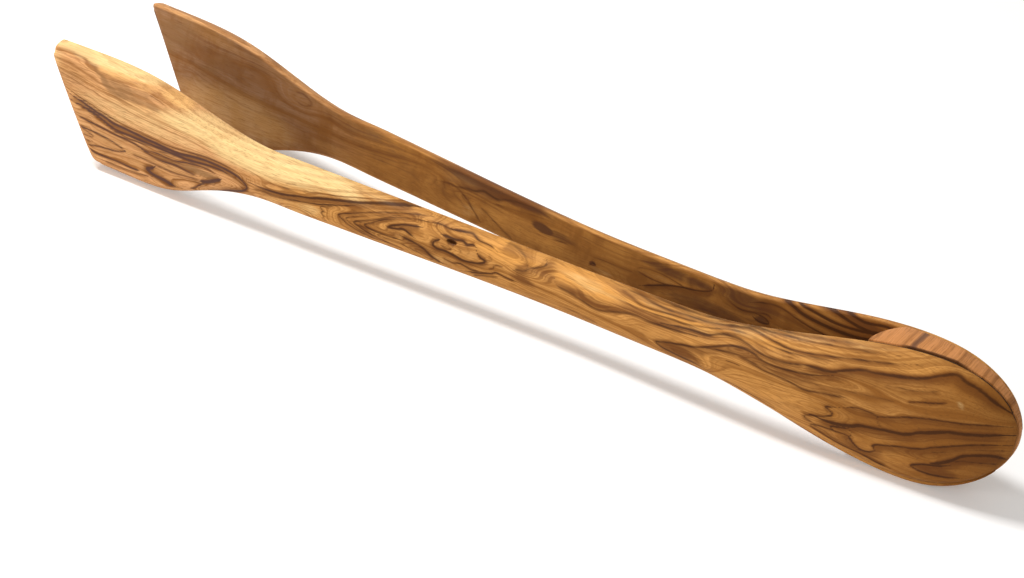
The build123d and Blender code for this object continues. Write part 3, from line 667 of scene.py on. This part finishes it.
def arm_grid(tree, side, node, figured):
    """Rows of points across an arm's inner and outer faces, in millimetres."""
    tip, tip_lean = tip_face(tree, side, node)
    stations = ring_stations(tip)
    leans = tip_lean * smooth_step((stations - LEAN_FROM) / (tip - LEAN_FROM))
    inner_shares = face_shares(figured == "inner")
    outer_shares = face_shares(figured == "outer")
    inner = np.zeros((len(stations), len(inner_shares), 3))
    outer = np.zeros((len(stations), len(outer_shares), 3))
    faces = ((inner, inner_shares, 0, side), (outer, outer_shares, FAR_OUT * side, -side))
    for row, (station, lean) in enumerate(zip(stations, leans)):
        x = HEEL_END - station * MM
        middle = ray_hit(tree, (x, 0, PIVOT_HEIGHT * MM), (0, side, 0))
        if middle is None:
            # The ray went through the gap that parts the plank
            x -= GAP_STEP * MM
            middle = ray_hit(tree, (x, 0, PIVOT_HEIGHT * MM), (0, side, 0))
        back = ray_hit(tree, (x, side * FAR_OUT * MM, PIVOT_HEIGHT * MM), (0, -side, 0))
        probe = min(PROBE_DEPTH * MM, PROBE_SHARE * abs(back.y - middle.y))
        centre = Vector((x, middle.y + side * probe, PIVOT_HEIGHT * MM))
        way = Vector((-lean, 0, 1)).normalized()
        high = ray_hit(tree, centre + way * FAR_OUT * MM, -way).z - EDGE_INSET * MM
        low = ray_hit(tree, centre - way * FAR_OUT * MM, way).z + EDGE_INSET * MM
        for grid, shares, from_y, way_y in faces:
            for column, share in enumerate(shares):
                height = low + (high - low) * share
                place = x - lean * (height - PIVOT_HEIGHT * MM)
                hit = ray_hit(tree, (place, from_y * MM, height), (0, way_y, 0))
                grid[row, column] = (place, hit.y if hit else math.nan, height)
    fill_misses(inner)
    fill_misses(outer)
    return inner / MM, outer / MM


def fill_misses(grid):
    """Depths of rays that slipped past an edge, taken from the next point in."""
    for row in grid:
        missing = np.isnan(row[:, 1])
        if missing.any():
            known = np.flatnonzero(~missing)
            row[:, 1] = np.interp(np.arange(len(row)), known, row[known, 1])


def smooth_along(grid):
    """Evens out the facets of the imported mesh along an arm, between its ends."""
    keep = slice(NOSE_RINGS, -TIP_RINGS)
    for _ in range(SMOOTH_PASSES):
        even = grid.copy()
        even[1:-1] = (grid[:-2] + 2 * grid[1:-1] + grid[2:]) / 4
        grid[keep] = even[keep]


def rounding(distance, radius):
    """How far a rounded edge falls back at a distance from it."""
    inside = np.clip(radius - distance, 0.0, radius)
    return radius - np.sqrt(radius * radius - inside * inside)


def uneven(points):
    """Small hand sanded hollows at points, from 0 to 1."""
    scaled = points / np.array(UNEVEN_SIZE)
    return np.array([noise.noise(Vector(point)) for point in scaled]) * 0.5 + 0.5


def thickness_at(grid, other):
    """Thickness of an arm at one face's points, measured to the other face."""
    pairs = zip(grid, other)
    depths = np.array([np.interp(row[:, 2], across[:, 2], across[:, 1]) for row, across in pairs])
    return np.abs(depths - grid[:, :, 1])


def shape_arm(inner, outer, side, knot):
    """Softens an arm's inner edges and end, sands it a little unevenly, and sinks the knot hole."""
    low = inner[:, :1, 2]
    high = inner[:, -1:, 2]
    to_edge = np.minimum(inner[:, :, 2] - low, high - inner[:, :, 2])
    to_tip = (inner[:, :, 0] - inner[-1:, :, 0]) + TIP_INSET
    fall = rounding(to_edge, EDGE_ROUND) + rounding(to_tip, TIP_ROUND)
    inner[:, :, 1] += side * np.minimum(fall, MOST_ROUNDED_OFF * thickness_at(inner, outer))
    hollow = uneven(outer.reshape(-1, 3)).reshape(outer.shape[:2])
    sunk = np.minimum(UNEVEN * hollow, MOST_SANDED_OFF * thickness_at(outer, inner))
    if knot:
        station = HEEL_END / MM - outer[:, :, 0]
        along = (station - KNOT_AT[0]) / KNOT_HALF_SIZE[0]
        up = (outer[:, :, 2] - KNOT_AT[1]) / KNOT_HALF_SIZE[1]
        sunk = sunk + KNOT_DEPTH * smooth_step(KNOT_SPREAD - np.hypot(along, up))
    outer[:, :, 1] -= side * sunk


def curve_through(points, step):
    """Points at about a step apart on a smooth curve through a grain line's points."""
    points = np.array(points, float)
    padded = np.vstack([2 * points[0] - points[1], points, 2 * points[-1] - points[-2]])
    found = []
    for before, start, end, after in zip(padded, padded[1:], padded[2:], padded[3:]):
        count = max(2, math.ceil(np.linalg.norm(end - start) / step))
        share = np.arange(count)[:, None] / count
        found.append(0.5 * (2 * start + (end - before) * share
                            + (2 * before - 5 * start + 4 * end - after) * share ** 2
                            + (3 * start - before - 3 * end + after) * share ** 3))
    return np.vstack([*found, points[-1:]])


def line_shade(lines, places, softness):
    """Darkness of the grain lines, and of the brown bands beside them, at places with a softness each."""
    shade = np.zeros(len(places))
    brown = np.zeros(len(places))
    for half_width, darkness, band, points in lines:
        curve = curve_through(points, LINE_STEP)
        reach = LINE_REACH * half_width + 2 * abs(band) + 2 * softness.max()
        near = np.flatnonzero(((places > curve.min(0) - reach) & (places < curve.max(0) + reach)).all(1))
        if len(near) == 0:
            continue
        spot = places[near]
        best = np.full(len(near), np.inf)
        along = np.zeros(len(near))
        left = np.zeros(len(near))
        for index, (start, end) in enumerate(zip(curve, curve[1:])):
            way = end - start
            share = np.clip(((spot - start) @ way) / max(way @ way, SMALLEST_STEP), 0.0, 1.0)
            offset = spot - start - share[:, None] * way
            gap = np.linalg.norm(offset, axis=1)
            closer = gap < best
            best[closer] = gap[closer]
            along[closer] = (index + share[closer]) / (len(curve) - 1)
            left[closer] = (way[0] * offset[closer, 1] - way[1] * offset[closer, 0]) / np.linalg.norm(way)
        end_share = np.minimum(along, 1 - along)
        sharp = half_width * np.clip(end_share * END_TAPER, END_WIDTH, 1.0)
        width = np.hypot(sharp, softness[near])
        depth = darkness * np.sqrt(sharp / width)
        shade[near] = np.maximum(shade[near], depth * np.exp(-((best / width) ** 2)))
        reach_left = np.where(left * band > 0, max(abs(band), half_width), HALO_WIDTH * width)
        beside = depth * np.exp(-((best / reach_left) ** 2)) * smooth_step(end_share * END_TAPER)
        brown[near] = np.maximum(brown[near], beside)
    return shade, brown


def level_across(inner, places):
    """Level of places between an arm's lower and upper edges, in millimetres of a plain plank."""
    stations = HEEL_END / MM - inner[:, [0, -1], 0]
    at = np.clip(places[:, 0], LAYER_FROM, LAYER_TO)
    low = np.interp(at, stations[:, 0], inner[:, 0, 2])
    high = np.interp(at, stations[:, 1], inner[:, -1, 2])
    return LAYER_SPAN * (places[:, 1] - low) / (high - low)


def layer_flow(lines, places, inner):
    """Growth layer at places: it falls from edge to edge, and every grain line is one level of it."""
    scale = np.array([1 / FLOW_STRETCH, 1.0])
    known = []
    bends = []
    for *_, points in lines:
        curve = curve_through(points, FLOW_STEP)[::2]
        level = level_across(inner, curve)
        known.append(curve)
        bends.append(level - level.mean())
    known = np.vstack(known) * scale
    bends = np.concatenate(bends)

    def nearness(first, second):
        squares = (first ** 2).sum(1)[:, None] + (second ** 2).sum(1)[None] - 2 * first @ second.T
        gap = np.sqrt(np.maximum(squares, 0.0)) * math.sqrt(3) / FLOW_REACH
        return (1 + gap) * np.exp(-gap)

    pull = np.linalg.solve(nearness(known, known) + FLOW_SLACK * np.eye(len(known)), bends)
    flow = np.zeros(len(places))
    for part in np.array_split(np.arange(len(places)), FLOW_PARTS):
        flow[part] = nearness(places[part] * scale, known) @ pull
    return flow - level_across(inner, places)


def patch_tone(patches, places):
    """Strength of a tone at places, from its patches."""
    tone = np.zeros(len(places))
    for station, height, half_length, half_height, tilt, strength in patches:
        turn = math.radians(tilt)
        along = (places[:, 0] - station) * math.cos(turn) + (places[:, 1] - height) * math.sin(turn)
        across = (places[:, 1] - height) * math.cos(turn) - (places[:, 0] - station) * math.sin(turn)
        reach = np.hypot(along / half_length, across / half_height)
        tone = np.maximum(tone, strength * smooth_step(PATCH_CORE - reach * PATCH_FALL))
    return tone


def store(mesh, name, values):
    """Keeps a number, or a vector, for each vertex of a mesh under a name."""
    values = np.asarray(values, np.float32)
    if values.ndim == 1:
        mesh.attributes.new(name, "FLOAT", "POINT").data.foreach_set("value", values)
    else:
        mesh.attributes.new(name, "FLOAT_VECTOR", "POINT").data.foreach_set("vector", values.ravel())


def end_cap(start, inner_count, size):
    """Faces that close an arm's ring: each step of the plain face meets the finer steps of the other."""
    inner = list(range(start, start + inner_count))
    outer = list(range(start + size - 1, start + inner_count - 1, -1))
    steps = PLAIN_COLUMNS - 1
    per_inner = (len(inner) - 1) // steps
    per_outer = (len(outer) - 1) // steps
    faces = []
    for step in range(steps):
        near = inner[step * per_inner:(step + 1) * per_inner + 1]
        far = outer[step * per_outer:(step + 1) * per_outer + 1]
        faces.append((*near, *reversed(far)))
    return faces


def arm_mesh(name, inner, outer):
    """Closed skin through the rows of an arm's inner and outer faces."""
    ring = np.concatenate([inner, outer[:, ::-1]], axis=1)
    rows, size, _ = ring.shape
    faces = []
    for row in range(rows - 1):
        start = row * size
        for step in range(size):
            after = (step + 1) % size
            faces.append((start + step, start + after, start + size + after, start + size + step))
    for start in (0, (rows - 1) * size):
        faces += end_cap(start, inner.shape[1], size)
    mesh = bpy.data.meshes.new(name)
    mesh.from_pydata((ring.reshape(-1, 3) * MM).tolist(), [], faces)
    shell = bmesh.new()
    shell.from_mesh(mesh)
    fill_mesh(mesh, shell)
    return mesh


def grain_places(inner, outer, figured):
    """Station and height at which each point of a ring reads the grain: lines slide as they run through."""
    through_inner = thickness_at(inner, outer) if figured == "outer" else 0.0
    through_outer = thickness_at(outer, inner) if figured == "inner" else 0.0
    rows = []
    for grid, through in ((inner, through_inner), (outer, through_outer)):
        station = HEEL_END / MM - grid[:, :, 0] + GRAIN_SLIDE * through
        height = grid[:, :, 2] + GRAIN_CLIMB * through
        rows.append(np.stack([station, height], axis=-1))
    return np.concatenate([rows[0], rows[1][:, ::-1]], axis=1).reshape(-1, 2)


def inner_share(inner, outer):
    """1 on an arm's inner face, 0 on its outer face and its rounded edges."""
    to_edge = np.minimum(inner[:, :, 2] - inner[:, :1, 2], inner[:, -1:, 2] - inner[:, :, 2])
    share = smooth_step(to_edge / EDGE_ROUND - INNER_FACE_SETBACK)
    return np.concatenate([share, np.zeros(outer.shape[:2])], axis=1).ravel()


def line_softness(inner, outer, figured):
    """Softness of the grain lines at each point of an arm's ring: none on the figured face."""
    soft_inner = np.full(inner.shape[:2], 0.0 if figured == "inner" else PLAIN_SOFTNESS)
    soft_outer = np.full(outer.shape[:2], 0.0 if figured == "outer" else PLAIN_SOFTNESS)
    return np.concatenate([soft_inner, soft_outer], axis=1).ravel()


def make_arm(name, side, nodes, lines, tones, shift, figured):
    """One springy arm of the tongs, with its grain kept on its skin."""
    tree = arm_search_tree(*nodes)
    inner, outer = arm_grid(tree, side, nodes[1], figured)
    smooth_along(inner)
    smooth_along(outer)
    shape_arm(inner, outer, side, knot=side == FRONT)
    places = grain_places(inner, outer, figured)
    mesh = arm_mesh(name, inner, outer)
    spots = np.concatenate([inner, outer[:, ::-1]], axis=1).reshape(-1, 3)
    store(mesh, "place", np.stack([HEEL_END / MM - spots[:, 0], spots[:, 1], spots[:, 2]], axis=1))
    offset, growth = zip(*shift)
    places = places - offset - places[:, :1] * growth
    # Share of the inner face, where the painted shade of the inner colours and more mottle come in
    store(mesh, "inner_face", inner_share(inner, outer))
    line, beside = line_shade(lines, places, line_softness(inner, outer, figured))
    store(mesh, "line", line)
    store(mesh, "beside", beside)
    store(mesh, "layer", layer_flow(lines, places, inner))
    for tone, patches in tones.items():
        store(mesh, tone, patch_tone(patches, places))
    return add_object(name, mesh)


class Value:
    """A socket of a material's nodes: arithmetic on it adds Math nodes."""

    def __init__(self, socket):
        self.socket = socket
        self.tree = socket.id_data

    def node(self, kind, settings=None, inputs=None, output=0):
        """Adds a node with its settings and inputs, and gives one of its outputs."""
        made = self.tree.nodes.new(kind)
        for name, value in (settings or {}).items():
            setattr(made, name, value)
        for name, value in (inputs or {}).items():
            if isinstance(value, Value):
                self.tree.links.new(value.socket, made.inputs[name])
            else:
                made.inputs[name].default_value = value
        return Value(made.outputs[output])

    def colour(self, tint):
        """A plain colour to start a mix from."""
        made = self.node("ShaderNodeRGB")
        made.socket.default_value = tint
        return made

    def math(self, operation, *terms):
        """Adds a Math node that works on the terms."""
        return self.node("ShaderNodeMath", {"operation": operation}, dict(enumerate(terms)))

    def __add__(self, other):
        return self.math("ADD", self, other)

    __radd__ = __add__

    def __sub__(self, other):
        return self.math("SUBTRACT", self, other)

    def __rsub__(self, other):
        return self.math("SUBTRACT", other, self)

    def __mul__(self, other):
        return self.math("MULTIPLY", self, other)

    __rmul__ = __mul__

    def between(self, low, high):
        """0 below low, 1 above high, and smooth between them."""
        return self.node("ShaderNodeMapRange", {"interpolation_type": "SMOOTHSTEP"},
                         {"Value": self, "From Min": low, "From Max": high})

    def scaled(self, *factors):
        """This vector with each part times its factor."""
        return self.node("ShaderNodeVectorMath", {"operation": "MULTIPLY"}, {0: self, 1: factors})

    def clouds(self, scale, detail=2.0, rough=0.5):
        """Noise at this vector, around 0.5."""
        return self.node("ShaderNodeTexNoise", None,
                         {"Vector": self, "Scale": scale, "Detail": detail, "Roughness": rough})

    def bands(self, scale, detail=1.0):
        """Noise along this number alone."""
        return self.node("ShaderNodeTexNoise", {"noise_dimensions": "1D"},
                         {"W": self, "Scale": scale, "Detail": detail})

    def toward(self, share, colour):
        """This colour, mixed with another by a share."""
        return self.node("ShaderNodeMix", {"data_type": "RGBA"},
                         {MIX_SHARE: share, MIX_FIRST: self, MIX_SECOND: colour}, MIX_RESULT)


def new_material(name):
    """Empty material with a surface shader, as the material, its shader node and a value to start from."""
    material = bpy.data.materials.new(name)
    material.use_nodes = True
    shader = material.node_tree.nodes["Principled BSDF"]
    return material, shader, Value(shader.outputs[0])


def feed(shader, name, value):
    """Links a value to one of a shader's sockets."""
    value.tree.links.new(value.socket, shader.inputs[name])


def olive_wood(name):
    """Oiled olive wood that reads the grain kept on an arm's skin."""
    material, shader, start = new_material(name)

    def kept(attribute, output="Fac"):
        return start.node("ShaderNodeAttribute", {"attribute_name": attribute}, None, output)

    place = kept("place", "Vector")
    inner = kept("inner_face")
    near_line = kept("beside")
    station = start.node("ShaderNodeSeparateXYZ", None, {0: place}, "X")
    blade = station.between(BLADE_TONE_FROM, BLADE_TONE_TO)

    grain = {}
    for kind, (stretch, *clouding) in WOOD_NOISE.items():
        grain[kind] = place.scaled(*stretch).clouds(*clouding)
    ripple = grain["ripple"] - NOISE_MIDDLE
    level = kept("layer") + (grain["drift"] - NOISE_MIDDLE) * LAYER_DRIFT + ripple * LAYER_RIPPLE
    for kind, (offset, *banding) in WOOD_BANDS.items():
        grain[kind] = (level + offset).bands(*banding)
    lines = {kind: grain[kind].between(*reach) for kind, reach in GRAIN_RANGES.items()}

    tone = {}
    for kind, (attribute, weight, fray, fray_weight, ripple_weight, reach) in FRAYED_TONES.items():
        frayed = kept(attribute) * weight + (grain[fray] - NOISE_MIDDLE) * fray_weight
        tone[kind] = (frayed + ripple * ripple_weight).between(*reach)
    pressed = kept("line") * (STREAK_LEAST + grain["strength"] * STREAK_SWING)
    streak = pressed + ripple * STREAK_RIPPLE + (grain["fibre"] - NOISE_MIDDLE) * STREAK_FRAY
    streak = streak.between(*STREAK_RANGE)

    quiet = (1 - tone["pale"] * PALE_QUIET) * (1 - tone["amber"] * AMBER_QUIET)

    def by_face(kind):
        return SHARES[kind] + inner * INNER_GAIN[kind]

    def by_line(kind):
        share = SHARES[kind] + near_line * NEAR_LINE_GAIN[kind]
        return lines[kind] * quiet * share * (1 - inner * INNER_LOSS[kind])

    # On the inner faces the colours turn to darker ones: painted shade between the arms
    tan = start.colour(TAN).toward(inner, SHADED_INNER_TAN)
    amber = start.colour(AMBER).toward(blade, BLADE_AMBER)
    heart = start.colour(HEART).toward(inner, SHADED_INNER_HEART)
    dark = start.colour(STREAK).toward(blade, PURPLE_STREAK)
    shaded_inner_colour = start.colour(SHADED_INNER_HONEY).toward(blade, SHADED_INNER_BLADE)
    colour = start.colour(HONEY).toward(blade, BLADE_HONEY).toward(inner, shaded_inner_colour)
    for share, tint in (
        (tone["tan"] * SHARES["tan"], tan),
        (lines["straw"] * by_face("straw"), STRAW),
        (lines["mottle"] * by_face("mottle"), tan),
        (tone["amber"] * by_face("amber"), amber),
        (tone["pale"] * SHARES["pale"], CREAM),
        (by_line("fine"), FIBRE),
        (by_line("thin"), FIBRE),
        (lines["fibre"] * quiet * SHARES["fibre"], FIBRE),
        (lines["hair"] * SHARES["hair"], FIBRE),
        (tone["heart"] * SHARES["heart"], heart),
        (tone["smoke"] * SHARES["smoke"], SMOKE),
        (tone["beside"] * (1 - tone["pale"] * PALE_BESIDE_LOSS) * SHARES["beside"], HEART),
        (streak * SHARES["streak"], dark),
        (lines["pore"] * SHARES["pore"], PORE),
    ):
        colour = colour.toward(share, tint)
    feed(shader, "Base Color", colour)

    shader.inputs["Specular IOR Level"].default_value = WOOD_SHEEN
    rough = (grain["fibre"] - NOISE_MIDDLE) * FIBRE_ROUGHNESS - streak * STREAK_SMOOTHNESS
    feed(shader, "Roughness", WOOD_ROUGHNESS + rough)
    relief = grain["fibre"] * FIBRE_RELIEF + grain["pore"] * PORE_RELIEF - streak * STREAK_RELIEF
    feed(shader, "Normal", start.node("ShaderNodeBump", None, {**ARM_BUMP, "Height": relief}, "Normal"))
    return material


def block_wood(name):
    """The heel block's wood, with its growth layers across the tongs and one dark one."""
    material, shader, start = new_material(name)
    place = start.node("ShaderNodeTexCoord", None, None, "Object")
    along = start.node("ShaderNodeSeparateXYZ", None, {0: place}, "X") * (1 / MM)
    depth = start.node("ShaderNodeSeparateXYZ", None, {0: place}, "Y") * (1 / MM)
    bend = place.scaled(*BLOCK_BEND_STRETCH).clouds(1.0) - NOISE_MIDDLE
    fibre = place.scaled(*BLOCK_FIBRE_STRETCH).clouds(1.0)
    level = along + bend * BLOCK_BEND
    broad = level.bands(*BLOCK_BROAD_BANDS)
    fine = level.bands(*BLOCK_FINE_BANDS)

    off_layer = level - (HEEL_END / MM - DARK_LAYER_AT)
    off_layer = off_layer.math("ABSOLUTE", off_layer)
    dark_layer = 1 - off_layer.between(DARK_LAYER_CORE, DARK_LAYER_HALF)
    station = HEEL_END / MM - along
    # Dark seam beside the front arm: partly glue, partly painted shade in the joint's slight opening
    off_seam = depth + HEEL_HALF_GAP + station * GAP_SLOPE
    seam = (1 - off_seam.between(SEAM_CORE, SEAM_WIDTH)) * station.between(SEAM_FADES_FROM, SEAM_FROM)
    seam = seam * (1 - station.between(SEAM_TO, SEAM_FADES_TO))

    colour = start.colour(BLOCK_PINK)
    for share, tint in (
        (broad.between(*BLOCK_TAN_RANGE) * BLOCK_TAN_SHARE, TAN),
        (fine.between(*BLOCK_FINE_RANGE) * BLOCK_FINE_SHARE, FIBRE),
        (broad.between(*BLOCK_HEART_RANGE) * BLOCK_HEART_SHARE, HEART),
        (dark_layer * DARK_LAYER_SHARE, PURPLE_STREAK),
        (fibre.between(*BLOCK_FIBRE_RANGE) * BLOCK_FIBRE_SHARE, PORE),
        (seam * SEAM_SHARE, STREAK),
    ):
        colour = colour.toward(share, tint)
    feed(shader, "Base Color", colour)
    shader.inputs["Specular IOR Level"].default_value = WOOD_SHEEN
    feed(shader, "Roughness", BLOCK_ROUGHNESS + (fibre - NOISE_MIDDLE) * BLOCK_FIBRE_ROUGHNESS)
    feed(shader, "Normal", start.node("ShaderNodeBump", None, {**BLOCK_BUMP, "Height": fibre}, "Normal"))
    return material


def glue_film(name):
    """Dark set glue, a little uneven."""
    material, shader, start = new_material(name)
    place = start.node("ShaderNodeTexCoord", None, None, "Object")
    clot = place.scaled(*GLUE_CLOT_STRETCH).clouds(1.0, GLUE_CLOT_DETAIL)
    feed(shader, "Base Color", start.colour(GLUE).toward(clot.between(*GLUE_CLOT_RANGE), GLUE_CLOT))
    feed(shader, "Roughness", GLUE_ROUGHNESS + clot * CLOT_ROUGHNESS)
    return material


def soft_block(name):
    """The heel block with its sharp edges eased."""
    mesh = frame["nodes"]["heel_block"].data.copy()
    mesh.name = name
    shell = bmesh.new()
    shell.from_mesh(mesh)
    bmesh.ops.remove_doubles(shell, verts=shell.verts, dist=WELD_DISTANCE)
    bmesh.ops.dissolve_limit(shell, angle_limit=math.radians(FLAT_ANGLE),
                             verts=shell.verts, edges=shell.edges)
    shared = [edge for edge in shell.edges if len(edge.link_faces) == 2]
    sharp = [edge for edge in shared if edge.calc_face_angle() > math.radians(SHARP_ANGLE)]
    bmesh.ops.bevel(shell, geom=sharp, offset=BLOCK_EDGE_ROUND * MM, segments=BLOCK_EDGE_STEPS,
                    affect="EDGES", profile=ROUND_PROFILE, clamp_overlap=True)
    fill_mesh(mesh, shell)
    mesh.materials.clear()
    mesh.set_sharp_from_angle(angle=math.radians(SHADE_ANGLE))
    return add_object(name, mesh)


def dress_tongs():
    """Arms, heel block and glue lines; the heel block rides on the heel's body."""
    sides = (
        ("front_olive_arm", FRONT, "front", FRONT_LINES, FRONT_TONES, FRONT_FIGURE_SHIFT, "outer"),
        ("rear_olive_arm", REAR, "rear", REAR_LINES, REAR_TONES, REAR_FIGURE_SHIFT, "inner"),
    )
    for name, side, word, lines, tones, shift, figured in sides:
        nodes = (f"{word}_arm_heel", f"{word}_arm")
        arm = make_arm(name, side, nodes, lines, tones, shift, figured)
        arm.data.materials.append(olive_wood(f"{word}_arm_olive_wood"))
        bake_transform(arm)
        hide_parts(*nodes)
    block = soft_block("heel_wedge")
    block.data.materials.append(block_wood("heel_block_wood"))
    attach(block, "heel")
    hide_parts("heel_block")
    glue = glue_film("dark_glue")
    for node in ("front_glue_line", "rear_glue_line"):
        film = frame["nodes"][node]
        film.data.materials.clear()
        film.data.materials.append(glue)


def seen_directly(start):
    """1 where the camera sees a surface, also in a reflection or through glass."""
    seen = start.node("ShaderNodeLightPath", None, None, "Is Camera Ray")
    for way in ("Is Glossy Ray", "Is Transmission Ray"):
        seen = seen.math("MAXIMUM", seen, start.node("ShaderNodeLightPath", None, None, way))
    return seen


def floor():
    """White floor that keeps the tongs' shadow, and glows to plain white far from them."""
    mesh = bpy.data.meshes.new("floor")
    half = FLOOR_SIZE / 2
    corners = [(-half, -half, 0), (half, -half, 0), (half, half, 0), (-half, half, 0)]
    mesh.from_pydata(corners, [], [(0, 1, 2, 3)])
    board = add_object("floor", mesh)
    material, shader, start = new_material("white_floor")
    shader.inputs["Base Color"].default_value = FLOOR_COLOUR
    shader.inputs["Roughness"].default_value = FLOOR_ROUGHNESS
    shader.inputs["Specular IOR Level"].default_value = 0.0
    shader.inputs["Emission Strength"].default_value = 1.0
    place = start.node("ShaderNodeTexCoord", None, None, "Object")
    away = start.node("ShaderNodeVectorMath", {"operation": "LENGTH"}, {0: place}, "Value")
    far = away.between(GLOW_RISES_FROM, GLOW_RISES_TO)
    # Near the tongs the glow is warm: painted warm bounce light in their shadow
    glow = start.colour(BLACK).toward(FLOOR_GLOW + far * (1 - FLOOR_GLOW), FLOOR_GLOW_TINT)
    glow = glow.toward(far, WHITE)
    feed(shader, "Emission Color", start.colour(BLACK).toward(seen_directly(start), glow))
    mesh.materials.append(material)


def world():
    """Soft white surroundings, plain white to the camera."""
    made = bpy.data.worlds.new("studio")
    made.use_nodes = True
    bpy.context.scene.world = made
    background = made.node_tree.nodes["Background"]
    start = Value(background.outputs[0])
    feed(background, "Color", start.colour(WORLD_COLOUR).toward(seen_directly(start), WHITE))


def lights():
    """Square lamps: a key light from above the blades, and a low fill from the front."""
    for name, place, target, size, power in LAMPS:
        lamp = bpy.data.lights.new(name, "AREA")
        lamp.size = size
        lamp.energy = power
        holder = add_object(name, lamp)
        holder.location = place
        holder.rotation_euler = (Vector(target) - Vector(place)).to_track_quat("-Z", "Y").to_euler()


def camera():
    """Camera with the photograph's angle, roll and focal length."""
    azimuth = math.radians(CAMERA_AZIMUTH)
    elevation = math.radians(CAMERA_ELEVATION)
    roll = math.radians(CAMERA_ROLL)
    level_back = Vector((math.sin(azimuth), -math.cos(azimuth), 0))
    back = math.cos(elevation) * level_back + Vector((0, 0, math.sin(elevation)))
    level_right = Vector((math.cos(azimuth), math.sin(azimuth), 0))
    level_up = back.cross(level_right)
    right = math.cos(roll) * level_right + math.sin(roll) * level_up
    up = math.cos(roll) * level_up - math.sin(roll) * level_right
    place = (Vector(CAMERA_TARGET) + back * CAMERA_DISTANCE) * MM
    data = bpy.data.cameras.new("photo_camera")
    data.sensor_width = SENSOR_WIDTH
    data.lens = FOCAL_PIXELS * SENSOR_WIDTH / IMAGE_WIDTH
    data.clip_start = CLIP_START
    data.clip_end = CLIP_END
    holder = add_object("photo_camera", data)
    turned = Matrix((right, up, back)).transposed().to_4x4()
    holder.matrix_world = Matrix.Translation(place) @ turned
    bpy.context.scene.camera = holder


camera()
dress_tongs()
floor()
world()
lights()
bpy.context.scene.view_settings.view_transform = "Standard"
